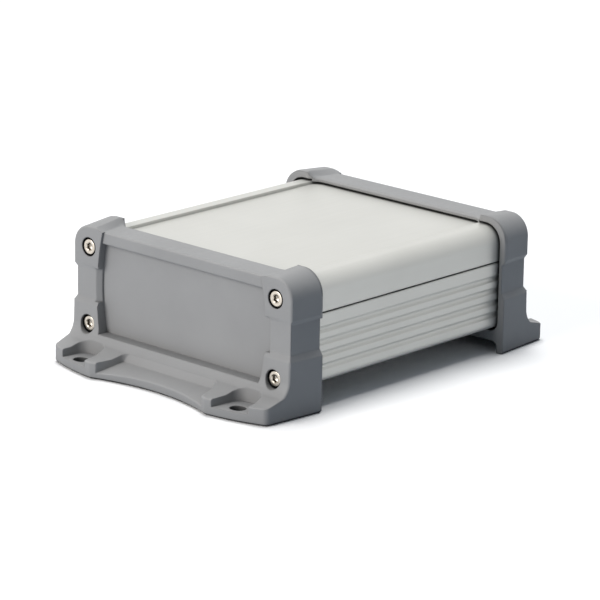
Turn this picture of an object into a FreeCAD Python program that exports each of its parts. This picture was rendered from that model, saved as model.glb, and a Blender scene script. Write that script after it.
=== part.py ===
"""Extruded aluminium enclosure with two cast, flanged end caps.

Millimetres. X is the width, Y the length of the extrusions (the front cap faces -Y) and Z is up,
with the ground at z = 0 and the origin under the middle of the case.
A cap is drawn in its own frame, where depth 0 is the face of its upper corner blocks and depth grows
towards the mouth that takes the extrusions.
"""

import FreeCAD, Part
import math
import os

Vector = FreeCAD.Vector

# Overall
FACE_TO_FACE = 148.0            # between the upper block faces of the two caps
CAP_DEPTH = 17.0                # block face to mouth
SCREW_INSET = 6.0               # of the screw columns from the sides of the body
SCREW_UPPER_Z = 49.3
SCREW_LOWER_Z = 15.8

# Extrusions
BODY_HALF = 60.0
BODY_BOTTOM = 10.6
BODY_TOP = 55.6                 # top of the shoulders
PANEL_FALL = 1.3                # of the top face between the shoulders
SHOULDER_WIDTH = 11.3
TOP_CORNER_R = 7.0
BOTTOM_CORNER_R = 3.0
SIDE_WALL = 3.0
TOP_WALL = 2.0
BOTTOM_WALL = 2.5
BOSS_R = 4.2
SCREW_BORE_D = 4.1

# Seam between cover and base
SEAM_Z = 40.25
SEAM_GAP = 0.5
LIP_CHAMFER = 0.35
TONGUE_INSET = 1.7              # from the side of the body
TONGUE_WIDTH = 1.6
TONGUE_TOP = 41.9
SLOT_FIT = 0.3                  # free width of the groove on each side of the tongue
SEAL_HEIGHT = 1.3
SEAL_WIDTH = 1.6
LEDGE_WALL = 5.4                # thickened wall at the seam
LEDGE_DEPTH = 2.2
COVER_LEDGE_TOP = 47.0

# Grooves along the sides of the base
GROOVE_TOP_Z = 33.3
GROOVE_PITCH = 5.33
GROOVE_COUNT = 4
GROOVE_WIDTH = 2.6
GROOVE_DEPTH = 0.8

# Card guides inside the base
GUIDE_Z = 22.0
GUIDE_SLOT = 1.8
GUIDE_RIB = 1.3
GUIDE_REACH = 2.4

# End cap, outside
FACE_COVER = 3.0                # by which the face stands out over the sides of the body
MOUTH_FLARE = 1.5               # by which the mouth is wider than the face, on each side
BUMP_TOP_FACE = 4.0             # inward run of the top of a block from the screw axis
BUMP_TOP_MOUTH = 2.6
BUMP_FOOT_FACE = 8.0            # and of the foot of its slope
BUMP_FOOT_MOUTH = 5.3
BAR_RISE_FACE = 1.4             # of the top bar above the shoulders
BAR_RISE_MOUTH = 1.7
BAR_REAR = 13.9                 # depth of the rear edge of the top bar
BAR_REAR_INSET = 8.5            # from the screw axis to the corner of the rear edge
BAR_REAR_SWEEP = 7.5
BAR_REAR_R = 5.0
BAR_FRONT = 1.0                 # top bar stands back from the blocks
SPLIT_Z = 33.0                  # where the upper and lower outlines meet, inside the side recess
FACE_CHAMFER = 0.6              # front edges of the blocks
MOUTH_CHAMFER = 1.3
BAR_REAR_CHAMFER = 0.9
BAR_FRONT_CHAMFER = 0.6

# End cap, recessed columns between the blocks
COLUMN_FACE = 1.0
COLUMN_INSET_FACE = 1.3         # of the sides of the columns
COLUMN_INSET_MOUTH = 1.7
STEP_UPPER_Z = 41.6
STEP_UPPER_FOOT = 39.5
STEP_LOWER_Z = 24.3
STEP_LOWER_FOOT = 26.9
LOWER_FACE = -0.5               # lower blocks stand proud of the upper ones
COLUMN_CHAMFER = 1.9            # on the inner edges of the columns

# End cap, recessed panel with bowed side walls
PANEL_FACE = 3.75
PANEL_BACK = 6.0
PANEL_SILL_Z = 12.8
PANEL_HEAD_Z = 52.0
BOW_R = 97.0
BOW_Z = 33.0
BOW_INSET = 5.25                # of the widest part of the panel from the screw axis

# End cap, mouth
MOUTH_SIDE_GAP = 1.2
MOUTH_TOP_GAP = 1.0

# End cap, flange
EAR_OUTER_Y = -12.5
EAR_OUTER_R = 3.0
EAR_MIDDLE_Y = -16.9            # of the bowed front edge of an ear
EAR_TIP_X = 33.5                # where that edge meets the concave edge between the ears
EAR_TIP_R = 3.0
ARC_R = 97.0
ARC_APEX_Y = -13.2
FLARE_TOP = (-0.2, 33.0)
FLARE_START = (-0.75, 16.5)
FLARE_MID = (-1.75, 12.75)
FLARE_END = (-4.6, 9.7)
RIM_KNEE = (-11.0, 7.75)
RIM_FRONT = (-22.0, 7.2)
FOOT_CHAMFER = 1.0
RIM_CHAMFER = 0.5               # along the upper front edges of the ears

# End cap, pockets and holes in the ears
POCKET_INSET = 17.3             # of the pocket's middle from the side of the face
POCKET_FLOOR = 4.3
POCKET_BACK_Y = -3.6
POCKET_BACK_HALF = 7.0
POCKET_FRONT_HALF = 9.4
POCKET_R = 5.0
POCKET_FRONT_Y = -24.0
HOLE_Y = -12.2
HOLE_WIDTH = 6.4
HOLE_LENGTH = 7.2

# End cap, shelf between the ears
SHELF_BACK_Y = -5.7
SHELF_BACK_Z = 6.1
SHELF_EDGE_Y = -13.1
SHELF_EDGE_Z = 4.3
SHELF_WALL_TOP_Y = -4.4
SHELF_WALL_TOP_Z = 9.5
SHELF_HALF_BACK = 26.8
SHELF_HALF_FRONT = 32.5
SHELF_FRONT_Y = -24.0
SHELF_R = 3.5
SHELF_CHAMFER = 0.4

# End cap, cored underside
CORE_WALL = 3.5
CORE_TOP = 5.0
CORE_FRONT_Y = 3.0
CORE_R = 2.5

# Screws, M4 low head with hexagon socket
HEAD_D = 6.8
HEAD_HEIGHT = 2.8
SHANK_D = 3.9
SCREW_LENGTH = 12.0
SOCKET_FLATS = 3.0
SOCKET_DEPTH = 1.7
COUNTERBORE_D = 8.2
CLEARANCE_D = 4.4
SEAT_DEPTH = 3.0                # of the bearing face under a screw head

# Gaskets
GASKET_THICK = 1.5
GASKET_INSET = 0.4
GASKET_BAND = 3.2
GASKET_CORNER = 9.0             # leg of the filled corner around a screw
GASKET_HOLE_D = 4.8

# Values that follow from the ones above
SCREW_X = BODY_HALF - SCREW_INSET
SHOULDER_X = BODY_HALF - SHOULDER_WIDTH
LEDGE_X = BODY_HALF - LEDGE_WALL
TONGUE_OUTER = BODY_HALF - TONGUE_INSET
TONGUE_INNER = TONGUE_OUTER - TONGUE_WIDTH
PANEL_TOP = BODY_TOP - PANEL_FALL
FACE_HALF = BODY_HALF + FACE_COVER
MOUTH_HALF = FACE_HALF + MOUTH_FLARE
COLUMN_HALF_FACE = FACE_HALF - COLUMN_INSET_FACE
COLUMN_HALF_MOUTH = MOUTH_HALF - COLUMN_INSET_MOUTH
BAR_TOP_FACE = BODY_TOP + BAR_RISE_FACE
BAR_TOP_MOUTH = BODY_TOP + BAR_RISE_MOUTH
BAR_REAR_HALF = SCREW_X - BAR_REAR_INSET
BOW_HALF = SCREW_X - BOW_INSET
POCKET_X = FACE_HALF - POCKET_INSET
CORE_HALF = MOUTH_HALF - CORE_WALL
BODY_END = FACE_TO_FACE / 2 - PANEL_BACK - GASKET_THICK
SIDE_DRAFT = (MOUTH_HALF - FACE_HALF) / CAP_DEPTH
CORNER_FACE_R = FACE_HALF - SCREW_X
CORNER_MOUTH_R = MOUTH_HALF - SCREW_X
TOOL = 200.0
OVERCUT = 1.0                   # by which a tool stands out past the face that it cuts
NEAR = 1.0                      # within which an edge counts as the one looked for


def at_depth(depth):
    """Map (x, z) to a point of the cross-section at a depth."""
    return lambda x, z: Vector(x, depth, z)


def at_height(height):
    """Map (x, y) to a point of the plan at a height."""
    return lambda x, y: Vector(x, y, height)


def at_side(x):
    """Map (y, z) to a point of the side view at an x."""
    return lambda y, z: Vector(x, y, z)


def outline(corners, lift):
    """Closed wire through corners (u, v) or (u, v, radius), rounded where a radius is given."""
    count = len(corners)
    starts = []
    ends = []
    middles = []
    for index, corner in enumerate(corners):
        here = lift(corner[0], corner[1])
        radius = corner[2] if len(corner) > 2 else 0.0
        if radius == 0.0:
            starts.append(here)
            ends.append(here)
            middles.append(None)
            continue
        before = corners[index - 1]
        after = corners[(index + 1) % count]
        to_before = lift(before[0], before[1]) - here
        to_after = lift(after[0], after[1]) - here
        to_before.normalize()
        to_after.normalize()
        half_angle = to_before.getAngle(to_after) / 2
        reach = radius / math.tan(half_angle)
        inward = to_before + to_after
        inward.normalize()
        starts.append(here + to_before * reach)
        ends.append(here + to_after * reach)
        middles.append(here + inward * (radius / math.sin(half_angle) - radius))
    edges = []
    for index in range(count):
        if middles[index] is not None:
            edges.append(Part.Arc(starts[index], middles[index], ends[index]).toShape())
        following = (index + 1) % count
        if (ends[index] - starts[following]).Length > 1e-6:
            edges.append(Part.makeLine(ends[index], starts[following]))
    return Part.Wire(edges)


def prism(corners, lift, sweep):
    """Solid swept from a rounded outline along a vector."""
    return Part.Face(outline(corners, lift)).extrude(sweep)


def mirrored(corners):
    """Complete a list of corners with x > 0, running upwards, by their images in x."""
    images = [(-corner[0],) + tuple(corner[1:]) for corner in reversed(corners)]
    return list(corners) + images


def both_sides(shape):
    """A shape and its image on the other side of x = 0."""
    image = shape.mirror(Vector(0, 0, 0), Vector(1, 0, 0))
    return [shape, image]


def rod(diameter, x, z, start, end):
    """Cylinder along Y."""
    return Part.makeCylinder(diameter / 2, end - start, Vector(x, start, z), Vector(0, 1, 0))


def screw_axes():
    """Side, level and (x, z) of the four screws of a cap."""
    return [
        ("left", "upper", -SCREW_X, SCREW_UPPER_Z),
        ("right", "upper", SCREW_X, SCREW_UPPER_Z),
        ("left", "lower", -SCREW_X, SCREW_LOWER_Z),
        ("right", "lower", SCREW_X, SCREW_LOWER_Z),
    ]


def body_outline(grow_side, grow_top):
    """Corners of the outer section of the closed extrusions, grown by a gap."""
    right = [
        (BODY_HALF + grow_side, BODY_BOTTOM - grow_side, BOTTOM_CORNER_R + grow_side),
        (BODY_HALF + grow_side, BODY_TOP + grow_top, TOP_CORNER_R + grow_top),
        (SHOULDER_X, BODY_TOP + grow_top),
        (SHOULDER_X, PANEL_TOP + grow_top),
    ]
    return mirrored(right)


def extruded(section):
    """Extrude a section over the length of the body."""
    return prism(section, at_depth(-BODY_END), Vector(0, 2 * BODY_END, 0))


def with_bosses(shape, level_z, inside):
    """Add the two screw bosses at a level, kept within the outer section, and bore them."""
    for x in (-SCREW_X, SCREW_X):
        boss = rod(2 * BOSS_R, x, level_z, -BODY_END, BODY_END)
        shape = shape.fuse(boss.common(inside))
    for x in (-SCREW_X, SCREW_X):
        shape = shape.cut(rod(SCREW_BORE_D, x, level_z, -TOOL, TOOL))
    return shape.removeSplitter()


def make_cover():
    """Upper extrusion: recessed top panel, shoulders and the groove of the seam."""
    lip_z = SEAM_Z + SEAM_GAP / 2
    slot_top = TONGUE_TOP + SEAL_HEIGHT
    right = [
        (LEDGE_X, SEAM_Z),
        (TONGUE_INNER - SLOT_FIT, SEAM_Z),
        (TONGUE_INNER - SLOT_FIT, slot_top),
        (TONGUE_OUTER + SLOT_FIT, slot_top),
        (TONGUE_OUTER + SLOT_FIT, lip_z),
        (BODY_HALF - LIP_CHAMFER, lip_z),
        (BODY_HALF, lip_z + LIP_CHAMFER),
        (BODY_HALF, BODY_TOP, TOP_CORNER_R),
        (SHOULDER_X, BODY_TOP),
        (SHOULDER_X, PANEL_TOP),
    ]
    inner = [
        (-LEDGE_X, COVER_LEDGE_TOP),
        (-BODY_HALF + SIDE_WALL, COVER_LEDGE_TOP + SIDE_WALL),
        (-SHOULDER_X, PANEL_TOP - TOP_WALL),
        (SHOULDER_X, PANEL_TOP - TOP_WALL),
        (BODY_HALF - SIDE_WALL, COVER_LEDGE_TOP + SIDE_WALL),
        (LEDGE_X, COVER_LEDGE_TOP),
    ]
    shell = extruded(mirrored(right) + inner)
    return with_bosses(shell, SCREW_UPPER_Z, extruded(body_outline(0.0, 0.0)))


def make_base():
    """Lower extrusion: grooved sides, tongues for the seam and card guides."""
    lip_z = SEAM_Z - SEAM_GAP / 2
    inner_x = BODY_HALF - SIDE_WALL
    floor_z = BODY_BOTTOM + BOTTOM_WALL
    right = [
        (BODY_HALF, BODY_BOTTOM, BOTTOM_CORNER_R),
        (BODY_HALF, lip_z - LIP_CHAMFER),
        (BODY_HALF - LIP_CHAMFER, lip_z),
        (TONGUE_OUTER, lip_z),
        (TONGUE_OUTER, TONGUE_TOP),
        (TONGUE_INNER, TONGUE_TOP),
        (TONGUE_INNER, SEAM_Z),
        (LEDGE_X, SEAM_Z),
        (LEDGE_X, SEAM_Z - LEDGE_DEPTH),
        (inner_x, SEAM_Z - LEDGE_DEPTH - (inner_x - LEDGE_X)),
        (inner_x, floor_z),
    ]
    shell = extruded(mirrored(right))
    for side in (-1, 1):
        for shelf in (-1, 1):
            centre_z = GUIDE_Z + shelf * (GUIDE_SLOT + GUIDE_RIB) / 2
            rib = Part.makeBox(
                GUIDE_REACH + SIDE_WALL / 2,
                2 * BODY_END,
                GUIDE_RIB,
                Vector(-GUIDE_REACH, -BODY_END, centre_z - GUIDE_RIB / 2),
            )
            rib.translate(Vector(inner_x, 0, 0))
            if side < 0:
                rib = rib.mirror(Vector(0, 0, 0), Vector(1, 0, 0))
            shell = shell.fuse(rib)
    groove_r = ((GROOVE_WIDTH / 2) ** 2 + GROOVE_DEPTH ** 2) / (2 * GROOVE_DEPTH)
    groove_x = BODY_HALF - GROOVE_DEPTH + groove_r
    for number in range(GROOVE_COUNT):
        level = GROOVE_TOP_Z - number * GROOVE_PITCH
        for x in (-groove_x, groove_x):
            shell = shell.cut(rod(2 * groove_r, x, level, -TOOL, TOOL))
    return with_bosses(shell, SCREW_LOWER_Z, extruded(body_outline(0.0, 0.0)))


def make_seal(side):
    """Cord between the tongue of the base and the groove of the cover."""
    centre = side * (TONGUE_INNER + TONGUE_OUTER) / 2
    corner = Vector(centre - SEAL_WIDTH / 2, -BODY_END, TONGUE_TOP)
    return Part.makeBox(SEAL_WIDTH, 2 * BODY_END, SEAL_HEIGHT, corner)


def make_gasket():
    """Flat gasket behind a cap panel, in the cap's frame."""
    inset = -GASKET_INSET
    sweep = Vector(0, GASKET_THICK, 0)
    outer = prism(body_outline(inset, inset), at_depth(PANEL_BACK), sweep)
    inner_x = BODY_HALF - GASKET_BAND
    sill_z = BODY_BOTTOM + GASKET_BAND
    head_z = PANEL_TOP - GASKET_BAND
    window = mirrored([
        (inner_x - GASKET_CORNER, sill_z),
        (inner_x, sill_z + GASKET_CORNER),
        (inner_x, head_z - GASKET_CORNER),
        (inner_x - GASKET_CORNER, head_z),
    ])
    gasket = outer.cut(prism(window, at_depth(PANEL_BACK), sweep))
    for _, _, x, z in screw_axes():
        gasket = gasket.cut(rod(GASKET_HOLE_D, x, z, 0, PANEL_BACK + GASKET_THICK))
    return gasket.removeSplitter()


def edges_where(shape, test):
    """Edges whose every sampled point passes a test."""
    found = []
    for edge in shape.Edges:
        samples = edge.discretize(5)
        if all(test(point) for point in samples):
            found.append(edge)
    return found


def nearest_edge(shape, point):
    """Edge of a shape that passes nearest to a point."""
    vertex = Part.Vertex(point)
    return min(shape.Edges, key=lambda edge: edge.distToShape(vertex)[0])


def chamfered(shape, size, points):
    """Break the edges that pass nearest to some points, and their images across x = 0."""
    images = [Vector(-point.x, point.y, point.z) for point in points]
    picked = []
    for point in points + images:
        edge = nearest_edge(shape, point)
        if not any(edge.isSame(other) for other in picked):
            picked.append(edge)
    return shape.makeChamfer(size, picked)


def block_section(lift):
    """Face of an upper block's chamfered section: distance from the screw axis against depth."""
    corners = [
        (0, 0),
        (CORNER_FACE_R - FACE_CHAMFER, 0),
        (CORNER_FACE_R + SIDE_DRAFT * FACE_CHAMFER, FACE_CHAMFER),
        (CORNER_MOUTH_R - SIDE_DRAFT * MOUTH_CHAMFER, CAP_DEPTH - MOUTH_CHAMFER),
        (CORNER_MOUTH_R - MOUTH_CHAMFER, CAP_DEPTH),
        (0, CAP_DEPTH),
    ]
    return Part.Face(outline(corners, lift))


def bump_cutter():
    """Tool for the twisted slope from the top of the right block down to the top bar."""
    wires = []
    for depth, radius, top_run, foot_run, bar_z in (
        (0.0, CORNER_FACE_R, BUMP_TOP_FACE, BUMP_FOOT_FACE, BAR_TOP_FACE),
        (CAP_DEPTH, CORNER_MOUTH_R, BUMP_TOP_MOUTH, BUMP_FOOT_MOUTH, BAR_TOP_MOUTH),
    ):
        top_x = SCREW_X - top_run
        top_z = SCREW_UPPER_Z + radius
        over = top_z + CORNER_MOUTH_R
        corners = [(0, bar_z), (SCREW_X - foot_run, bar_z), (top_x, top_z), (top_x, over), (0, over)]
        wires.append(outline(corners, at_depth(depth)))
    return Part.makeLoft(wires, True, True)


def upper_block():
    """Right upper block: its section run up the side, around the screw axis and inwards along the top."""
    side = block_section(lambda away, depth: Vector(SCREW_X + away, depth, SPLIT_Z))
    turn = block_section(lambda away, depth: Vector(SCREW_X + away, depth, SCREW_UPPER_Z))
    top = block_section(lambda away, depth: Vector(SCREW_X, depth, SCREW_UPPER_Z + away))
    side = side.extrude(Vector(0, 0, SCREW_UPPER_Z - SPLIT_Z))
    turn = turn.revolve(Vector(SCREW_X, 0, SCREW_UPPER_Z), Vector(0, -1, 0), 90)
    top = top.extrude(Vector(BAR_REAR_HALF - SCREW_X, 0, 0))
    return side.fuse([turn, top.cut(bump_cutter())])


def upper_envelope():
    """Upper blocks and the top bar between them."""
    bar = prism(
        [(0, SPLIT_Z), (0, BAR_TOP_FACE), (CAP_DEPTH, BAR_TOP_MOUTH), (CAP_DEPTH, SPLIT_Z)],
        at_side(-SCREW_X),
        Vector(2 * SCREW_X, 0, 0),
    )
    solid = bar.fuse(both_sides(upper_block())).removeSplitter()
    rear = prism(
        [
            (-BAR_REAR_HALF - 2 * BAR_REAR_SWEEP, CAP_DEPTH + BAR_REAR_SWEEP),
            (-BAR_REAR_HALF, BAR_REAR, BAR_REAR_R),
            (BAR_REAR_HALF, BAR_REAR, BAR_REAR_R),
            (BAR_REAR_HALF + 2 * BAR_REAR_SWEEP, CAP_DEPTH + BAR_REAR_SWEEP),
        ],
        at_height(PANEL_TOP),
        Vector(0, 0, TOOL),
    )
    blocks = rear.common(Part.makeBox(TOOL, TOOL, TOOL, Vector(-TOOL / 2, 0, 0)))
    return solid.cut(blocks)


def side_x(y):
    """Half width of the lower block and flange at a depth."""
    return FACE_HALF + SIDE_DRAFT * y


def flange_plan():
    """Plan outline of the lower blocks and ears, as a wire on the ground."""
    lift = at_height(0.0)
    arc_centre_y = ARC_APEX_Y - ARC_R
    tip_y = arc_centre_y + math.sqrt(ARC_R ** 2 - EAR_TIP_X ** 2)
    outer_x = side_x(EAR_OUTER_Y)
    middle_x = (EAR_TIP_X + outer_x) / 2
    tip = lift(EAR_TIP_X, tip_y)
    corner = lift(outer_x, EAR_OUTER_Y)
    mouth = lift(side_x(CAP_DEPTH), CAP_DEPTH)
    far_tip = lift(-EAR_TIP_X, tip_y)
    far_corner = lift(-outer_x, EAR_OUTER_Y)
    far_mouth = lift(-side_x(CAP_DEPTH), CAP_DEPTH)
    edges = [
        Part.Arc(tip, lift(middle_x, EAR_MIDDLE_Y), corner).toShape(),
        Part.makeLine(corner, mouth),
        Part.makeLine(mouth, far_mouth),
        Part.makeLine(far_mouth, far_corner),
        Part.Arc(far_corner, lift(-middle_x, EAR_MIDDLE_Y), far_tip).toShape(),
        Part.Arc(far_tip, lift(0, ARC_APEX_Y), tip).toShape(),
    ]
    return Part.Wire(edges)


def rounded_plan():
    """Prism of the flange plan with its upright corners rounded and its foot chamfered."""
    plan = Part.Face(flange_plan()).extrude(Vector(0, 0, SPLIT_Z))
    for low_x, high_x, radius in (
        (EAR_TIP_X - NEAR, EAR_TIP_X + NEAR, EAR_TIP_R),
        (side_x(EAR_OUTER_Y) - NEAR, side_x(EAR_OUTER_Y) + NEAR, EAR_OUTER_R),
    ):
        upright = edges_where(
            plan, lambda point: low_x < abs(point.x) < high_x and point.y < EAR_OUTER_Y + NEAR
        )
        upright = [edge for edge in upright if edge.BoundBox.ZLength > SPLIT_Z / 2]
        plan = plan.makeFillet(radius, upright)
    foot = [
        edge for edge in edges_where(plan, lambda point: point.z < 1e-6)
        if edge.BoundBox.YMin < CAP_DEPTH - NEAR
    ]
    return plan.makeChamfer(FOOT_CHAMFER, foot)


def lower_envelope():
    """Lower blocks and flange: the plan outline trimmed by the flared side profile."""
    side = at_side(-TOOL / 2)
    rise = [
        Part.makeLine(side(CAP_DEPTH, 0), side(CAP_DEPTH, SPLIT_Z)),
        Part.makeLine(side(CAP_DEPTH, SPLIT_Z), side(*FLARE_TOP)),
        Part.makeLine(side(*FLARE_TOP), side(*FLARE_START)),
        Part.Arc(side(*FLARE_START), side(*FLARE_MID), side(*FLARE_END)).toShape(),
        Part.makeLine(side(*FLARE_END), side(*RIM_KNEE)),
        Part.makeLine(side(*RIM_KNEE), side(*RIM_FRONT)),
        Part.makeLine(side(*RIM_FRONT), side(RIM_FRONT[0], 0)),
        Part.makeLine(side(RIM_FRONT[0], 0), side(CAP_DEPTH, 0)),
    ]
    profile = Part.Face(Part.Wire(rise)).extrude(Vector(TOOL, 0, 0))
    flange = rounded_plan().common(profile)
    rim = nearest_edge(flange, Vector(0, ARC_APEX_Y, RIM_KNEE[1]))
    return flange.makeChamfer(RIM_CHAMFER, [rim])


def column_cutters():
    """Tools for the recess between upper and lower blocks, on the face and on both sides."""
    reach = 4.0
    upper_slope = (STEP_UPPER_Z - STEP_UPPER_FOOT) / COLUMN_FACE
    lower_slope = (STEP_LOWER_FOOT - STEP_LOWER_Z) / (COLUMN_FACE - LOWER_FACE)
    face = prism(
        [
            (COLUMN_FACE, STEP_LOWER_FOOT),
            (COLUMN_FACE, STEP_UPPER_FOOT),
            (COLUMN_FACE - reach, STEP_UPPER_FOOT + upper_slope * reach),
            (COLUMN_FACE - reach, STEP_LOWER_FOOT - lower_slope * reach),
        ],
        at_side(-TOOL / 2),
        Vector(TOOL, 0, 0),
    )
    wires = []
    for depth, half, outer in (
        (0.0, COLUMN_HALF_FACE, FACE_HALF),
        (CAP_DEPTH, COLUMN_HALF_MOUTH, MOUTH_HALF),
    ):
        step = outer - half
        grow = reach / step
        corners = [
            (half, STEP_LOWER_FOOT),
            (half, STEP_UPPER_FOOT),
            (half + reach, STEP_UPPER_FOOT + (STEP_UPPER_Z - STEP_UPPER_FOOT) * grow),
            (half + reach, STEP_LOWER_FOOT - (STEP_LOWER_FOOT - STEP_LOWER_Z) * grow),
        ]
        wires.append(outline(corners, at_depth(depth)))
    side = Part.makeLoft(wires, True, True)
    return [face] + both_sides(side)


def bowed_outline(low, high, depth, grow):
    """Outline between the bowed side walls of the panel at one depth, grown sideways."""
    def half_at(z):
        return BOW_HALF + grow - (BOW_R - math.sqrt(BOW_R ** 2 - (z - BOW_Z) ** 2))

    lift = at_depth(depth)
    middle = (low + high) / 2
    right = Part.Arc(lift(half_at(low), low), lift(half_at(middle), middle), lift(half_at(high), high))
    left = Part.Arc(lift(-half_at(high), high), lift(-half_at(middle), middle), lift(-half_at(low), low))
    return Part.Wire([
        right.toShape(),
        Part.makeLine(lift(half_at(high), high), lift(-half_at(high), high)),
        left.toShape(),
        Part.makeLine(lift(-half_at(low), low), lift(half_at(low), low)),
    ])


def bowed_prism(low, high, end):
    """Block between the bowed side walls of the panel, over a height, from the front to a depth."""
    return Part.Face(bowed_outline(low, high, -TOOL, 0.0)).extrude(Vector(0, end + TOOL, 0))


def column_chamfer():
    """Tool that breaks the inner front edges of both columns between the steps."""
    low = STEP_LOWER_FOOT - OVERCUT
    high = STEP_UPPER_FOOT + OVERCUT
    wires = [
        bowed_outline(low, high, COLUMN_FACE - OVERCUT, COLUMN_CHAMFER + OVERCUT),
        bowed_outline(low, high, COLUMN_FACE + COLUMN_CHAMFER, 0.0),
    ]
    return Part.makeLoft(wires, True, True)


def pocket_cutter():
    """Tool for the pocket of the right ear, open to the front."""
    corners = [
        (POCKET_X - POCKET_FRONT_HALF, POCKET_FRONT_Y),
        (POCKET_X - POCKET_BACK_HALF, POCKET_BACK_Y, POCKET_R),
        (POCKET_X + POCKET_BACK_HALF, POCKET_BACK_Y, POCKET_R),
        (POCKET_X + POCKET_FRONT_HALF, POCKET_FRONT_Y),
    ]
    return prism(corners, at_height(POCKET_FLOOR), Vector(0, 0, TOOL))


def hole_cutter():
    """Tool for the short slot of the right ear, long across the case."""
    travel = (HOLE_LENGTH - HOLE_WIDTH) / 2
    radius = HOLE_WIDTH / 2
    height = POCKET_FLOOR + 2 * OVERCUT
    left = Part.makeCylinder(radius, height, Vector(POCKET_X - travel, HOLE_Y, -OVERCUT))
    right = Part.makeCylinder(radius, height, Vector(POCKET_X + travel, HOLE_Y, -OVERCUT))
    corner = Vector(POCKET_X - travel, HOLE_Y - radius, -OVERCUT)
    bridge = Part.makeBox(2 * travel, HOLE_WIDTH, height, corner)
    return left.fuse([bridge, right]).removeSplitter()


def shelf_cutter():
    """Tool for the shelf between the ears."""
    plan = prism(
        [
            (-SHELF_HALF_FRONT, SHELF_FRONT_Y),
            (SHELF_HALF_FRONT, SHELF_FRONT_Y),
            (SHELF_HALF_BACK, SHELF_WALL_TOP_Y, SHELF_R),
            (-SHELF_HALF_BACK, SHELF_WALL_TOP_Y, SHELF_R),
        ],
        at_height(0.0),
        Vector(0, 0, TOOL),
    )
    slope = (SHELF_BACK_Z - SHELF_EDGE_Z) / (SHELF_BACK_Y - SHELF_EDGE_Y)
    front_z = SHELF_EDGE_Z - slope * (SHELF_EDGE_Y - SHELF_FRONT_Y)
    side = prism(
        [
            (SHELF_FRONT_Y, front_z),
            (SHELF_BACK_Y, SHELF_BACK_Z),
            (SHELF_WALL_TOP_Y, SHELF_WALL_TOP_Z),
            (SHELF_WALL_TOP_Y, TOOL),
            (SHELF_FRONT_Y, TOOL),
        ],
        at_side(-TOOL / 2),
        Vector(TOOL, 0, 0),
    )
    return plan.common(side)


def break_edges(cap):
    """Chamfer the front edges of the lower blocks, both long edges of the top bar and the shelf."""
    lower_z = (FLARE_START[1] + STEP_LOWER_Z) / 2
    cap = chamfered(cap, FACE_CHAMFER, [Vector(FACE_HALF, (FLARE_START[0] + LOWER_FACE) / 2, lower_z)])
    cap = chamfered(cap, BAR_REAR_CHAMFER, [Vector(0, BAR_REAR, BAR_TOP_MOUTH)])
    cap = chamfered(cap, BAR_FRONT_CHAMFER, [Vector(0, BAR_FRONT, BAR_TOP_FACE)])
    return chamfered(cap, SHELF_CHAMFER, [Vector(0, SHELF_EDGE_Y, SHELF_EDGE_Z)])


def make_cap():
    """One flanged end cap in its own frame."""
    cap = upper_envelope().fuse(lower_envelope())
    for tool in column_cutters():
        cap = cap.cut(tool)
    cap = cap.cut(bowed_prism(PANEL_SILL_Z, PANEL_HEAD_Z, PANEL_FACE))
    cap = cap.cut(bowed_prism(PANEL_HEAD_Z - OVERCUT, BAR_TOP_MOUTH + OVERCUT, BAR_FRONT))
    cap = cap.cut(column_chamfer())
    mouth = prism(
        body_outline(MOUTH_SIDE_GAP, MOUTH_TOP_GAP), at_depth(PANEL_BACK), Vector(0, TOOL, 0)
    )
    cap = cap.cut(mouth)
    tools = both_sides(pocket_cutter()) + both_sides(hole_cutter()) + [shelf_cutter()]
    core = prism(
        mirrored([(CORE_HALF, -TOOL), (CORE_HALF, CORE_TOP, CORE_R)]),
        at_depth(CORE_FRONT_Y),
        Vector(0, TOOL, 0),
    )
    tools.append(core)
    for _, _, x, z in screw_axes():
        tools.append(rod(COUNTERBORE_D, x, z, -TOOL, SEAT_DEPTH))
        tools.append(rod(CLEARANCE_D, x, z, 0, PANEL_BACK + OVERCUT))
    for tool in tools:
        cap = cap.cut(tool)
    return break_edges(cap.removeSplitter())


def make_screw():
    """Low-head socket screw along +Y, its bearing face at y = 0."""
    profile = [
        Vector(0, -HEAD_HEIGHT, 0),
        Vector(HEAD_D / 2, -HEAD_HEIGHT, 0),
        Vector(HEAD_D / 2, 0, 0),
        Vector(SHANK_D / 2, 0, 0),
        Vector(SHANK_D / 2, SCREW_LENGTH, 0),
        Vector(0, SCREW_LENGTH, 0),
        Vector(0, -HEAD_HEIGHT, 0),
    ]
    screw = Part.Face(Part.makePolygon(profile)).revolve(Vector(0, 0, 0), Vector(0, 1, 0), 360)
    socket_r = SOCKET_FLATS / math.sqrt(3)
    corners = []
    for step in range(6):
        angle = math.radians(60 * step)
        corners.append((socket_r * math.cos(angle), socket_r * math.sin(angle)))
    socket = prism(corners, at_depth(-HEAD_HEIGHT - OVERCUT), Vector(0, OVERCUT + SOCKET_DEPTH, 0))
    return screw.cut(socket)


def placed(shape, end):
    """Move a shape from the frame of a cap to the front or the rear of the case."""
    copy = shape.copy()
    copy.translate(Vector(0, -FACE_TO_FACE / 2, 0))
    if end == "rear":
        copy.rotate(Vector(0, 0, 0), Vector(0, 0, 1), 180)
    return copy


def make_nodes():
    """All pieces by node name."""
    nodes = {
        "cover": make_cover(),
        "base": make_base(),
        "seal_left": make_seal(-1),
        "seal_right": make_seal(1),
    }
    cap = make_cap()
    gasket = make_gasket()
    screw = make_screw()
    for end in ("front", "rear"):
        nodes["cap_" + end] = placed(cap, end)
        nodes["gasket_" + end] = placed(gasket, end)
        for side, level, x, z in screw_axes():
            turned = screw.copy()
            turned.translate(Vector(x, SEAT_DEPTH, z))
            nodes["_".join(("screw", end, level, side))] = placed(turned, end)
    return nodes


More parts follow.
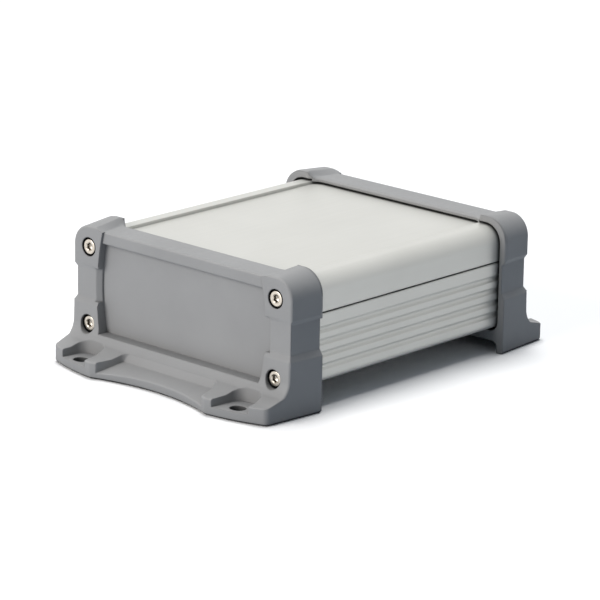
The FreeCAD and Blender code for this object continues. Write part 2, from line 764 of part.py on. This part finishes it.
def main():
    """Build every piece and write it as STEP."""
    os.makedirs("parts", exist_ok=True)
    for name, shape in make_nodes().items():
        solid = shape.Solids[0] if len(shape.Solids) == 1 else shape
        print(name, "solids", len(shape.Solids), "valid", shape.isValid(), "volume", round(shape.Volume, 1))
        solid.exportStep("parts/" + name + ".step")


main()
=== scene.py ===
"""Looks of the extruded aluminium enclosure: finishes, smooth castings, threaded screws and a studio."""

import logging
import math
from dataclasses import dataclass, field
from enum import Enum
from typing import Sequence

import bmesh
import bpy
import numpy as np
from mathutils import Matrix, Vector


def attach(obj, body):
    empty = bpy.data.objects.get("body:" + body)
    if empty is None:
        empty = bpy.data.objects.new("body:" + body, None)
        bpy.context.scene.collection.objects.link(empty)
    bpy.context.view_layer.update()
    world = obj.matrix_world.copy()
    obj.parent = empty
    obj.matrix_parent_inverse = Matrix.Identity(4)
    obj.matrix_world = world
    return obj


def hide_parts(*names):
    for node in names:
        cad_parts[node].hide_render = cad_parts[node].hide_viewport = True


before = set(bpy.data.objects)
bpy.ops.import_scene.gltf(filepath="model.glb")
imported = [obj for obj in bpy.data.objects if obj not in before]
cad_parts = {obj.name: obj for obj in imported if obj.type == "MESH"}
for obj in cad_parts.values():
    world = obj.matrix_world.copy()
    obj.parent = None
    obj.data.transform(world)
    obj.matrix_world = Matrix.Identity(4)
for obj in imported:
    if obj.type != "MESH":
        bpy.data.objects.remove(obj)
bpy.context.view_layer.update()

logging.basicConfig(level=logging.INFO, format="%(message)s")
LOG = logging.getLogger("enclosure")

MM = 0.001
Colour = tuple[float, float, float]
Range = tuple[float, float]
NOISE_MIDDLE: Range = (0.3, 0.7)


class Slot(Enum):
    """Material slots of the record."""

    BODY = "body_aluminium"
    CAP = "cap_grey"
    SEAL = "seal_black"
    SCREW = "screw_steel"


class NodeSheet:
    """Short-hand for building one node material.

    Args:
        name: name of the material.
    """

    def __init__(self, name: str) -> None:
        """Make an empty node material with an output and one Principled shader."""
        self.material = bpy.data.materials.new(name)
        self.material.use_nodes = True
        self.tree = self.material.node_tree
        self.tree.nodes.clear()
        self.output = self.tree.nodes.new("ShaderNodeOutputMaterial")
        self.shader = self.tree.nodes.new("ShaderNodeBsdfPrincipled")
        self.link(self.shader.outputs["BSDF"], self.output.inputs["Surface"])
        self.coords = self.tree.nodes.new("ShaderNodeTexCoord").outputs["Object"]
        self.base = self.shader.inputs["Base Color"]

    def link(self, source: bpy.types.NodeSocket, target: bpy.types.NodeSocket) -> None:
        """Join two sockets."""
        self.tree.links.new(source, target)

    def constant(self, **values: float) -> None:
        """Set constant values on the Principled shader's own sockets."""
        for key, value in values.items():
            self.shader.inputs[key.replace("_", " ")].default_value = value

    def stretched(self, scale: Sequence[float]) -> bpy.types.NodeSocket:
        """Object coordinates multiplied by a scale per axis.

        Args:
            scale: factors along X, Y and Z.

        Returns:
            The vector output.
        """
        node = self.tree.nodes.new("ShaderNodeMapping")
        node.inputs["Scale"].default_value = tuple(scale)
        self.link(self.coords, node.inputs["Vector"])
        return node.outputs["Vector"]

    def noise(self, scale: float, detail: float = 2.0,
              vector: bpy.types.NodeSocket | None = None) -> bpy.types.NodeSocket:
        """Noise value at a scale.

        Args:
            scale: cells for each metre of the coordinates.
            detail: octaves.
            vector: coordinates to read, or the object's own.

        Returns:
            The factor output.
        """
        node = self.tree.nodes.new("ShaderNodeTexNoise")
        node.inputs["Scale"].default_value = scale
        node.inputs["Detail"].default_value = detail
        self.link(vector or self.coords, node.inputs["Vector"])
        return node.outputs["Fac"]

    def tones(self, factor: bpy.types.NodeSocket, dark: Colour, light: Colour) -> bpy.types.NodeSocket:
        """Colour ramp over the middle of a noise.

        Args:
            factor: noise value.
            dark: linear colour at its low values.
            light: linear colour at its high values.

        Returns:
            The colour output.
        """
        node = self.tree.nodes.new("ShaderNodeValToRGB")
        stops = zip(node.color_ramp.elements, NOISE_MIDDLE, (dark, light))
        for element, position, colour in stops:
            element.position = position
            element.color = (*colour, 1.0)
        self.link(factor, node.inputs["Fac"])
        return node.outputs["Color"]

    def mapped(self, value: bpy.types.NodeSocket, source: Range, target: Range) -> bpy.types.NodeSocket:
        """Map a value from one range to another and keep it inside.

        Args:
            value: the value to map.
            source: low and high end that it comes from.
            target: what they become.

        Returns:
            The mapped output.
        """
        node = self.tree.nodes.new("ShaderNodeMapRange")
        ends = dict(zip(("From Min", "From Max", "To Min", "To Max"), (*source, *target)))
        for key, end in ends.items():
            node.inputs[key].default_value = end
        self.link(value, node.inputs["Value"])
        return node.outputs["Result"]

    def rough(self, factor: bpy.types.NodeSocket, span: Range) -> None:
        """Let the roughness follow the middle of a noise.

        Args:
            factor: noise value.
            span: roughness at its low and at its high values.
        """
        self.link(self.mapped(factor, NOISE_MIDDLE, span), self.shader.inputs["Roughness"])

    def scaled(self, colour: bpy.types.NodeSocket, share: bpy.types.NodeSocket) -> bpy.types.NodeSocket:
        """Multiply a colour by a value."""
        node = self.tree.nodes.new("ShaderNodeVectorMath")
        node.operation = "SCALE"
        self.link(colour, node.inputs[0])
        self.link(share, node.inputs["Scale"])
        return node.outputs["Vector"]

    def number(self, operation: str, *terms: bpy.types.NodeSocket | float) -> bpy.types.NodeSocket:
        """One step of arithmetic on sockets and constants."""
        node = self.tree.nodes.new("ShaderNodeMath")
        node.operation = operation
        for index, term in enumerate(terms):
            if isinstance(term, bpy.types.NodeSocket):
                self.link(term, node.inputs[index])
            else:
                node.inputs[index].default_value = term
        return node.outputs[0]

    def off_middle(self, place: bpy.types.NodeSocket, middle: float) -> bpy.types.NodeSocket:
        """Distance past a place that stands mirrored about zero."""
        return self.number("SUBTRACT", self.number("ABSOLUTE", place), middle)

    def in_circle(self, first: bpy.types.NodeSocket, second: bpy.types.NodeSocket,
                  radius: float) -> bpy.types.NodeSocket:
        """One where two distances from a middle stay within a radius, else zero."""
        squares = [self.number("MULTIPLY", term, term) for term in (first, second)]
        return self.number("LESS_THAN", self.number("ADD", *squares), radius ** 2)

    def painted_shade_in_holes(self, colour: bpy.types.NodeSocket, holes: "HoleShadeSpots") -> bpy.types.NodeSocket:
        """Paint shade into a colour on the walls of the screw counterbores and of the mounting slots,
        where shade falls.

        Args:
            colour: colour to darken.
            holes: where the bores and slots are, and how dark their painted shade gets.

        Returns:
            The colour output.
        """
        split = self.tree.nodes.new("ShaderNodeSeparateXYZ")
        self.link(self.coords, split.inputs[0])
        x, y, z = (split.outputs[axis] for axis in "XYZ")
        level = self.off_middle(self.number("SUBTRACT", z, holes.bore_middle_z), holes.bore_half_z)
        bore = self.in_circle(self.off_middle(x, holes.bore_x), level, holes.bore_r)
        sunk = self.number("LESS_THAN", self.number("ABSOLUTE", y), holes.bore_face_y)
        along = self.off_middle(y, holes.slot_y)
        slot = self.in_circle(self.off_middle(x, holes.slot_x), along, holes.slot_r)
        below = self.number("LESS_THAN", z, holes.slot_top_z)
        # painted shade: inside a counterbore or a slot the colour keeps only its given share
        share = 1.0
        for hole, inside, left in ((bore, sunk, holes.bore_shade_share), (slot, below, holes.slot_shade_share)):
            taken = self.number("MULTIPLY", self.number("MULTIPLY", hole, inside), 1.0 - left)
            share = self.number("SUBTRACT", share, taken)
        return self.scaled(colour, share)

    def crevice_shade(self, colour: bpy.types.NodeSocket, hollow: "CreviceShade") -> bpy.types.NodeSocket:
        """Paint shade into a colour where neighbouring faces close in on the surface, from ambient
        occlusion.

        Args:
            colour: colour to darken.
            hollow: how near the faces have to be, and how dark the painted shade gets.

        Returns:
            The colour output.
        """
        # ambient occlusion read into the colour as painted shade
        around = self.tree.nodes.new("ShaderNodeAmbientOcclusion")
        around.samples = 8
        around.inputs["Distance"].default_value = hollow.reach
        span = (hollow.closed_share, hollow.open_share)
        return self.scaled(colour, self.mapped(around.outputs["AO"], span, (hollow.share, 1.0)))

    def relief(self, edge: float, *heights: tuple[bpy.types.NodeSocket, float]) -> None:
        """Bump layers over softened edges, on the shader's normal.

        Args:
            edge: radius of the softened edges in metres.
            heights: height sockets with their depth in metres.
        """
        soft = self.tree.nodes.new("ShaderNodeBevel")
        soft.samples = 6
        soft.inputs["Radius"].default_value = edge
        normal = soft.outputs["Normal"]
        for height, depth in heights:
            bump = self.tree.nodes.new("ShaderNodeBump")
            bump.inputs["Strength"].default_value = 1.0
            bump.inputs["Distance"].default_value = depth
            self.link(height, bump.inputs["Height"])
            self.link(normal, bump.inputs["Normal"])
            normal = bump.outputs["Normal"]
        self.link(normal, self.shader.inputs["Normal"])


@dataclass(frozen=True)
class CreviceShade:
    """How painted shade darkens a colour where faces close in.

    The reach is the distance in metres within which faces count. The colour is full from the open share
    of the surroundings upwards, and falls to the last share where only the closed share is open.
    """

    reach: float
    share: float
    open_share: float
    closed_share: float = 0.15


@dataclass(frozen=True)
class HoleShadeSpots:
    """Middles and sizes of the screw counterbores and mounting slots of both castings, in metres, and the
    share of colour that their painted shade leaves.
    """

    bore_x: float = 54.0 * MM
    bore_middle_z: float = 32.55 * MM
    bore_half_z: float = 16.75 * MM
    bore_r: float = 4.25 * MM
    bore_face_y: float = 73.7 * MM
    bore_shade_share: float = 0.12
    slot_x: float = 45.7 * MM
    slot_y: float = 86.2 * MM
    slot_r: float = 3.9 * MM
    slot_top_z: float = 4.1 * MM
    slot_shade_share: float = 0.30


@dataclass(frozen=True)
class CastPaint:
    """Matt grey paint over a die casting: fine grain, faint mottling, no metal showing, and painted shade
    in the counterbores, slots, pockets and creases.
    """

    dark: Colour = (0.286, 0.287, 0.288)
    light: Colour = (0.308, 0.309, 0.310)
    mottle_scale: float = 38.0
    mottle_detail: float = 3.0
    rough: Range = (0.50, 0.60)
    rough_scale: float = 420.0
    grain_scale: float = 2600.0
    grain_depth: float = 0.000012
    specular: float = 0.22
    edge: float = 0.0010
    holes: HoleShadeSpots = HoleShadeSpots()
    # painted shade from ambient occlusion: a wide soft layer in pockets and a dark narrow layer in
    # creases
    pocket_shade: CreviceShade = CreviceShade(reach=0.0100, share=0.68, open_share=0.97)
    creases: CreviceShade = CreviceShade(reach=0.0034, share=0.08, open_share=0.55)

    def material(self) -> bpy.types.Material:
        """Build the paint."""
        sheet = NodeSheet("cast_paint")
        grey = sheet.tones(sheet.noise(self.mottle_scale, self.mottle_detail), self.dark, self.light)
        # painted shade in the counterbores and slots, then painted shade from ambient occlusion in
        # pockets and creases
        grey = sheet.painted_shade_in_holes(grey, self.holes)
        grey = sheet.crevice_shade(grey, self.pocket_shade)
        sheet.link(sheet.crevice_shade(grey, self.creases), sheet.base)
        sheet.rough(sheet.noise(self.rough_scale), self.rough)
        sheet.relief(self.edge, (sheet.noise(self.grain_scale), self.grain_depth))
        sheet.constant(Metallic=0.0, Specular_IOR_Level=self.specular)
        return sheet.material


@dataclass(frozen=True)
class SatinExtrusion:
    """Satin silver finish of the extrusions, with a faint draw along their length and painted shade where
    faces close in.
    """

    dark: Colour = (0.617, 0.614, 0.577)
    light: Colour = (0.647, 0.644, 0.607)
    cloud_scale: float = 30.0
    draw_stretch: Colour = (1.0, 0.02, 1.0)
    draw_scale: float = 900.0
    draw_detail: float = 3.0
    draw_depth: float = 0.0000025
    blast_scale: float = 5200.0
    blast_depth: float = 0.000004
    rough: Range = (0.38, 0.46)
    metallic: float = 0.44
    specular: float = 0.5
    edge: float = 0.0011
    # painted shade from ambient occlusion in grooves and gaps
    creases: CreviceShade = CreviceShade(reach=0.0030, share=0.10, open_share=0.70)

    def material(self) -> bpy.types.Material:
        """Build the finish."""
        sheet = NodeSheet("satin_extrusion")
        draw = sheet.noise(self.draw_scale, self.draw_detail, sheet.stretched(self.draw_stretch))
        silver = sheet.tones(sheet.noise(self.cloud_scale), self.dark, self.light)
        # painted shade from ambient occlusion where faces close in
        sheet.link(sheet.crevice_shade(silver, self.creases), sheet.base)
        sheet.rough(draw, self.rough)
        blast = sheet.noise(self.blast_scale)
        sheet.relief(self.edge, (draw, self.draw_depth), (blast, self.blast_depth))
        sheet.constant(Metallic=self.metallic, Specular_IOR_Level=self.specular)
        return sheet.material


@dataclass(frozen=True)
class BrightSteel:
    """Bright stainless steel of the screws, with fine turning marks and painted shade in the socket and
    where faces close in.
    """

    dark: Colour = (0.49, 0.445, 0.385)
    light: Colour = (0.59, 0.545, 0.48)
    patch_scale: float = 900.0
    rough: Range = (0.24, 0.36)
    rough_scale: float = 2600.0
    mark_scale: float = 7000.0
    mark_depth: float = 0.000003
    edge: float = 0.00008
    # painted shade from ambient occlusion in the socket and the gap round the head
    creases: CreviceShade = CreviceShade(reach=0.0024, share=0.03, open_share=0.90)

    def material(self) -> bpy.types.Material:
        """Build the steel."""
        sheet = NodeSheet("bright_steel")
        bright = sheet.tones(sheet.noise(self.patch_scale), self.dark, self.light)
        # painted shade from ambient occlusion where faces close in
        sheet.link(sheet.crevice_shade(bright, self.creases), sheet.base)
        sheet.rough(sheet.noise(self.rough_scale), self.rough)
        sheet.relief(self.edge, (sheet.noise(self.mark_scale), self.mark_depth))
        sheet.constant(Metallic=1.0)
        return sheet.material


@dataclass(frozen=True)
class SealElastomer:
    """Matt black elastomer of the gaskets and cords."""

    dark: Colour = (0.010, 0.010, 0.011)
    light: Colour = (0.020, 0.020, 0.021)
    patch_scale: float = 300.0
    rough: Range = (0.65, 0.80)
    rough_scale: float = 900.0
    grain_scale: float = 3000.0
    grain_depth: float = 0.00001
    specular: float = 0.3
    edge: float = 0.0002

    def material(self) -> bpy.types.Material:
        """Build the elastomer."""
        sheet = NodeSheet("seal_elastomer")
        sheet.link(sheet.tones(sheet.noise(self.patch_scale), self.dark, self.light), sheet.base)
        sheet.rough(sheet.noise(self.rough_scale), self.rough)
        sheet.relief(self.edge, (sheet.noise(self.grain_scale), self.grain_depth))
        sheet.constant(Metallic=0.0, Specular_IOR_Level=self.specular)
        return sheet.material


def points_of(mesh: bpy.types.Mesh) -> np.ndarray:
    """Corners of a mesh in metres, one row each."""
    flat = np.empty(len(mesh.vertices) * 3)
    mesh.vertices.foreach_get("co", flat)
    return flat.reshape(-1, 3)


def node_box(node: str) -> tuple[np.ndarray, np.ndarray]:
    """Lower and upper corner of a CAD node, in metres."""
    points = points_of(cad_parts[node].data)
    return points.min(axis=0), points.max(axis=0)


def merged_mesh(node: str, name: str) -> bpy.types.Mesh:
    """Copy a CAD node's loose triangles as one closed surface.

    Args:
        node: CAD node to copy.
        name: name of the new mesh.

    Returns:
        The new mesh.
    """
    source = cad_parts[node].data
    rounded = np.round(points_of(source), 7)
    points, index = np.unique(rounded, axis=0, return_inverse=True)
    loops = np.empty(len(source.loops), dtype=np.int64)
    source.loops.foreach_get("vertex_index", loops)
    faces = index.reshape(-1)[loops].reshape(-1, 3)
    distinct = np.all(faces != np.roll(faces, 1, axis=1), axis=1)
    mesh = bpy.data.meshes.new(name)
    mesh.from_pydata(points.tolist(), [], faces[distinct].tolist())
    return mesh


def smooth_between_creases(mesh: bpy.types.Mesh, crease_deg: float) -> None:
    """Shade a mesh smooth, with sharp edges above an angle in degrees."""
    mesh.polygons.foreach_set("use_smooth", np.ones(len(mesh.polygons), dtype=bool))
    mesh.set_sharp_from_angle(angle=math.radians(crease_deg))


def dressed_piece(mesh: bpy.types.Mesh, node: str,
                  material: bpy.types.Material) -> bpy.types.Object:
    """Make an object of a mesh that stands for a CAD node.

    Args:
        mesh: mesh of the piece, which also gives the object its name.
        node: CAD node that the piece stands for.
        material: finish to put on it.

    Returns:
        The new object.
    """
    mesh.materials.append(material)
    piece = bpy.data.objects.new(mesh.name, mesh)
    bpy.context.scene.collection.objects.link(piece)
    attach(piece, "root")
    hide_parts(node)
    LOG.info("%s: %d faces for %s", mesh.name, len(mesh.polygons), node)
    return piece


def smooth_stand_in(node: str, name: str, material: bpy.types.Material,
                    crease_deg: float = 26.0, flat_weight: int = 60) -> bpy.types.Object:
    """Show a CAD node as one closed surface with smooth curves, flat faces and crisp creases.

    Args:
        node: CAD node that the piece stands for.
        name: name of the new piece.
        material: finish to put on it.
        crease_deg: angle in degrees above which an edge stays sharp.
        flat_weight: how far large faces outweigh small ones in the shading.

    Returns:
        The new object.
    """
    mesh = merged_mesh(node, name)
    smooth_between_creases(mesh, crease_deg)
    piece = dressed_piece(mesh, node, material)
    flat_first = piece.modifiers.new("flat_faces_first", "WEIGHTED_NORMAL")
    flat_first.keep_sharp = True
    flat_first.weight = flat_weight
    return piece


def capped_grid(name: str, grid: np.ndarray, crease_deg: float = 35.0) -> bpy.types.Mesh:
    """Closed surface over a grid that runs round in its second direction, with both ends capped.

    Args:
        name: name of the mesh.
        grid: points by ring and step around.
        crease_deg: angle in degrees above which an edge stays sharp.

    Returns:
        The new mesh, its faces turned outwards, smooth where it bends gently.
    """
    rings, around = grid.shape[:2]
    row, step = np.meshgrid(np.arange(rings - 1) * around, np.arange(around), indexing="ij")
    following = (step + 1) % around
    sides = [row + step, row + following, row + around + following, row + around + step]
    quads = np.stack(sides, axis=-1).reshape(-1, 4).tolist()
    first = list(range(around))[::-1]
    last = list(range((rings - 1) * around, rings * around))
    mesh = bpy.data.meshes.new(name)
    mesh.from_pydata(grid.reshape(-1, 3).tolist(), [], quads + [first, last])
    work = bmesh.new()
    work.from_mesh(mesh)
    bmesh.ops.recalc_face_normals(work, faces=work.faces)
    work.to_mesh(mesh)
    work.free()
    smooth_between_creases(mesh, crease_deg)
    return mesh


@dataclass
class EndCaps:
    """The two flanged castings, with a narrower edge break at the mouth of the upper blocks."""

    finish: CastPaint = field(default_factory=CastPaint)
    ends: tuple[str, str] = ("front", "rear")
    bend_x: float = 54.0 * MM
    bend_z: float = 49.3 * MM
    outline_r: float = 9.15 * MM
    block_foot_z: float = 39.9 * MM
    plane_band: float = 0.02 * MM
    filled: float = 0.9 * MM

    def build(self) -> None:
        """Dress both castings."""
        paint = self.finish.material()
        for end in self.ends:
            piece = smooth_stand_in(f"cap_{end}", f"casting_{end}", paint)
            self.narrow_break(piece.data)

    def narrow_break(self, mesh: bpy.types.Mesh) -> None:
        """Fill out most of the edge break round the mouth of both upper blocks.

        A point moves if it lies in the plane of the mouth, above the foot of the block and on the outer
        outline, which runs at one distance round the bend's axis, straight down and straight inwards. It
        moves away from that axis by the filled width.

        Args:
            mesh: mesh of one casting.
        """
        points = points_of(mesh)
        depth = np.abs(points[:, 1])
        outward = np.maximum(np.abs(points[:, 0]) - self.bend_x, 0.0)
        upward = np.maximum(points[:, 2] - self.bend_z, 0.0)
        away = np.hypot(outward, upward)
        in_mouth = depth - depth.min() < self.plane_band
        outline = in_mouth & (away > self.outline_r) & (points[:, 2] > self.block_foot_z)
        share = np.where(outline, self.filled / np.maximum(away, self.outline_r), 0.0)
        points[:, 0] += np.sign(points[:, 0]) * outward * share
        points[:, 2] += upward * share
        mesh.vertices.foreach_set("co", points.ravel())
        mesh.update()
        LOG.info("%s: %d points of the mouth filled out", mesh.name, int(outline.sum()))


@dataclass
class Extrusions:
    """Cover and base."""

    finish: SatinExtrusion = field(default_factory=SatinExtrusion)

    def build(self) -> None:
        """Dress both extrusions."""
        satin = self.finish.material()
        smooth_stand_in("cover", "cover_extrusion", satin)
        smooth_stand_in("base", "base_extrusion", satin)


@dataclass
class Seals:
    """Gaskets behind the caps and cords in the seam."""

    finish: SealElastomer = field(default_factory=SealElastomer)

    def build(self) -> None:
        """Dress the seals."""
        rubber = self.finish.material()
        for node in ("gasket_front", "gasket_rear", "seal_left", "seal_right"):
            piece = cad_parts[node]
            piece.data.materials.clear()
            piece.data.materials.append(rubber)
            LOG.info("%s: dressed", node)


@dataclass
class Screws:
    """The eight socket screws, with rounded heads, hexagon sockets and rolled threads.

    A screw is one grid: rings run from the middle of the socket floor up its wall, over the head, down
    the shank and to the middle of the tip. A ring's radius follows a hexagon inside the socket and a
    circle elsewhere, and along the thread it rises and falls with the turn plus the way along the axis.
    """

    finish: BrightSteel = field(default_factory=BrightSteel)
    head_r: float = 3.3 * MM
    head_height: float = 2.8 * MM
    edge_r: float = 0.45 * MM
    edge_steps: int = 6
    seat_break: float = 0.15 * MM
    flats: float = 3.0 * MM
    mouth_r: float = 1.95 * MM
    mouth_depth: float = 0.35 * MM
    mouth_lip: float = 0.08 * MM
    socket_depth: float = 1.7 * MM
    drill_depth: float = 0.35 * MM
    floor_break: float = 0.04 * MM
    floor_share: float = 0.97
    pole_share: float = 0.02
    shank_r: float = 1.95 * MM
    shank_start: float = 0.05 * MM
    thread_depth: float = 0.32 * MM
    tip_break: float = 0.3 * MM
    tip_share: float = 0.98
    pitch: float = 0.7 * MM
    runout: float = 0.5 * MM
    around: int = 72
    per_turn: int = 8

    def turn(self) -> np.ndarray:
        """Angles of the steps around."""
        return np.linspace(0.0, 2.0 * np.pi, self.around, endpoint=False)

    def head(self) -> list[tuple[np.ndarray, float]]:
        """Rings from the middle of the socket floor to the root of the shank, as radius and place."""
        sector = np.pi / 3.0
        hexagon = self.flats / 2.0 / np.cos((self.turn() + sector / 2.0) % sector - sector / 2.0)
        circle = np.ones(self.around)
        face = -self.head_height
        floor = face + self.socket_depth
        rows = [
            (self.pole_share * hexagon, floor + self.drill_depth),
            (self.floor_share * hexagon, floor),
            (hexagon, floor - self.floor_break),
            (hexagon, face + self.mouth_depth),
            ((hexagon + self.mouth_r * circle) / 2.0, face + self.mouth_depth / 2.0),
            (self.mouth_r * circle, face),
            ((self.mouth_r + self.mouth_lip) * circle, face),
        ]
        for angle in np.linspace(0.0, np.pi / 2.0, self.edge_steps):
            away = self.head_r - self.edge_r * (1.0 - math.sin(angle))
            rows.append((away * circle, face + self.edge_r * (1.0 - math.cos(angle))))
        rows += [
            (self.head_r * circle, -self.seat_break),
            ((self.head_r - self.seat_break) * circle, 0.0),
            ((self.shank_r + self.shank_start) * circle, 0.0),
        ]
        return rows

    def shank(self, length: float) -> list[tuple[np.ndarray, float]]:
        """Rings of the thread and the tip, as radius and place.

        Args:
            length: length of the shank.

        Returns:
            The rings from the head to the middle of the tip.
        """
        circle = np.ones(self.around)
        end = length - self.runout
        steps = int(round(end / self.pitch * self.per_turn))
        rows = []
        for level in np.linspace(self.shank_start, end, steps):
            phase = (level / self.pitch + self.turn() / (2.0 * np.pi)) % 1.0
            groove = 1.0 - np.abs(2.0 * phase - 1.0)
            fade = min(1.0, (level - self.shank_start) / self.runout)
            rows.append((self.shank_r - self.thread_depth * groove * fade, level))
        tip_r = self.shank_r - self.thread_depth - self.tip_break
        rows += [(tip_r * share * circle, length) for share in (1.0, self.tip_share, self.pole_share)]
        return rows

    def build(self) -> None:
        """Make and place every screw."""
        steel = self.finish.material()
        for end, toward in (("front", 1.0), ("rear", -1.0)):
            for level in ("upper", "lower"):
                for side in ("left", "right"):
                    self.screw(f"{end}_{level}_{side}", toward, steel)

    def screw(self, place: str, toward: float, steel: bpy.types.Material) -> None:
        """Make one screw where its CAD node is.

        Args:
            place: end, level and side that the names of its node and piece end with.
            toward: +1 if the shank points along +Y, -1 if along -Y.
            steel: finish to put on it.
        """
        node = f"screw_{place}"
        low, high = node_box(node)
        middle = (low + high) / 2.0
        length = high[1] - low[1] - self.head_height
        seat = low[1] + self.head_height if toward > 0 else high[1] - self.head_height
        rows = self.head() + self.shank(length)
        radius = np.array([away for away, _ in rows])
        along = np.array([[level] * self.around for _, level in rows])
        x = middle[0] + toward * radius * np.cos(self.turn())
        z = middle[2] + radius * np.sin(self.turn())
        grid = np.stack([x, seat + toward * along, z], axis=-1)
        dressed_piece(capped_grid(f"socket_{place}", grid), node, steel)


def looked_at(tree: bpy.types.NodeTree) -> bpy.types.NodeSocket:
    """One for rays that see, mirror or pass to a surface, zero for rays that light with it."""
    path = tree.nodes.new("ShaderNodeLightPath")
    seen = path.outputs["Is Camera Ray"]
    for other in ("Is Glossy Ray", "Is Transmission Ray"):
        either = tree.nodes.new("ShaderNodeMath")
        either.operation = "MAXIMUM"
        tree.links.new(seen, either.inputs[0])
        tree.links.new(path.outputs[other], either.inputs[1])
        seen = either.outputs[0]
    return seen


@dataclass
class Studio:
    """Camera of the photograph, pale floor, soft lamps and world."""

    camera_place: Colour = (0.95594, -1.03288, 0.43438)
    azimuth: float = 42.821
    elevation: float = 16.316
    roll: float = 0.935
    focal: float = 206.16
    key_direction: Colour = (-0.13, 0.20, 0.97)
    key_distance: float = 2.2
    key_size: float = 1.6
    key_power: float = 46.3
    fill_direction: Colour = (-0.20, -0.92, 0.36)
    fill_distance: float = 1.5
    fill_size: float = 1.1
    fill_power: float = 19.4
    fill_tint: Colour = (1.0, 0.965, 0.930)
    ambient: float = 0.16
    ambient_tint: Colour = (0.82, 0.94, 1.10)
    mirrored: float = 0.98
    floor_half: float = 1.1
    floor_light: Colour = (0.34, 0.385, 0.445)

    def build(self) -> None:
        """Make every part of the studio."""
        self.camera()
        self.lamps()
        self.world()
        self.floor()
        scene = bpy.context.scene
        scene.view_settings.view_transform = "Standard"
        LOG.info("studio: ready")

    def camera(self) -> None:
        """Place the camera by its azimuth, elevation and roll."""
        a, e, r = (math.radians(v) for v in (self.azimuth, self.elevation, self.roll))
        back = Vector((math.sin(a) * math.cos(e), -math.cos(a) * math.cos(e), math.sin(e)))
        right = Vector((math.cos(a), math.sin(a), 0.0))
        up = back.cross(right)
        right_rolled = right * math.cos(r) + up * math.sin(r)
        up_rolled = up * math.cos(r) - right * math.sin(r)
        data = bpy.data.cameras.new("studio_camera")
        data.lens = self.focal
        data.sensor_width = 36.0
        data.clip_end = 50.0
        camera = bpy.data.objects.new("studio_camera", data)
        bpy.context.scene.collection.objects.link(camera)
        turn = Matrix((right_rolled, up_rolled, back)).transposed().to_4x4()
        camera.matrix_world = Matrix.Translation(self.camera_place) @ turn
        bpy.context.scene.camera = camera

    def lamps(self) -> None:
        """Overhead key a little behind the part, not mirrored in it, and a weak fill from the front."""
        key = self.lamp("key", self.key_direction, self.key_distance, self.key_size, self.key_power)
        key.visible_glossy = False
        fill = self.lamp("fill", self.fill_direction, self.fill_distance, self.fill_size, self.fill_power)
        fill.data.color = self.fill_tint

    def lamp(self, name: str, toward: Colour, distance: float, size: float,
             power: float) -> bpy.types.Object:
        """Place one round soft lamp that looks at the origin.

        Args:
            name: name of the lamp.
            toward: direction from the part to the lamp.
            distance: metres from the origin.
            size: diameter in metres.
            power: watts.

        Returns:
            The lamp.
        """
        direction = Vector(toward).normalized()
        data = bpy.data.lights.new(name, "AREA")
        data.shape = "DISK"
        data.size = size
        data.energy = power
        lamp = bpy.data.objects.new(name, data)
        bpy.context.scene.collection.objects.link(lamp)
        lamp.location = direction * distance
        lamp.rotation_mode = "QUATERNION"
        lamp.rotation_quaternion = (-direction).to_track_quat("-Z", "Y")
        return lamp

    def world(self) -> None:
        """Surroundings: dim to diffuse light, white where they are seen or mirrored."""
        world = bpy.data.worlds.new("studio_world")
        world.use_nodes = True
        bpy.context.scene.world = world
        tree = world.node_tree
        background = tree.nodes["Background"]
        colour = tree.nodes.new("ShaderNodeMix")
        colour.data_type = "RGBA"
        tree.links.new(looked_at(tree), colour.inputs["Factor"])
        colour.inputs["A"].default_value = (*(self.ambient * part for part in self.ambient_tint), 1.0)
        colour.inputs["B"].default_value = (self.mirrored, self.mirrored, self.mirrored, 1.0)
        tree.links.new(colour.outputs["Result"], background.inputs["Color"])

    def floor(self) -> None:
        """Flat floor, white to the eye and to reflections, darker as a reflector."""
        half = self.floor_half
        corners = [(-half, -half, 0.0), (half, -half, 0.0), (half, half, 0.0), (-half, half, 0.0)]
        mesh = bpy.data.meshes.new("studio_floor")
        mesh.from_pydata(corners, [], [(0, 1, 2, 3)])
        floor = bpy.data.objects.new("studio_floor", mesh)
        bpy.context.scene.collection.objects.link(floor)
        material = bpy.data.materials.new("studio_floor")
        material.use_nodes = True
        tree = material.node_tree
        tree.nodes.clear()
        mix = tree.nodes.new("ShaderNodeMixShader")
        tree.links.new(looked_at(tree), mix.inputs["Fac"])
        for index, colour in ((1, self.floor_light), (2, (1.0, 1.0, 1.0))):
            surface = tree.nodes.new("ShaderNodeBsdfDiffuse")
            surface.inputs["Color"].default_value = (*colour, 1.0)
            tree.links.new(surface.outputs[0], mix.inputs[index])
        output = tree.nodes.new("ShaderNodeOutputMaterial")
        tree.links.new(mix.outputs[0], output.inputs["Surface"])
        mesh.materials.append(material)


def main() -> None:
    """Build and dress every piece in order."""
    EndCaps().build()
    Extrusions().build()
    Seals().build()
    Screws().build()
    Studio().build()


if __name__ == "__main__":
    main()
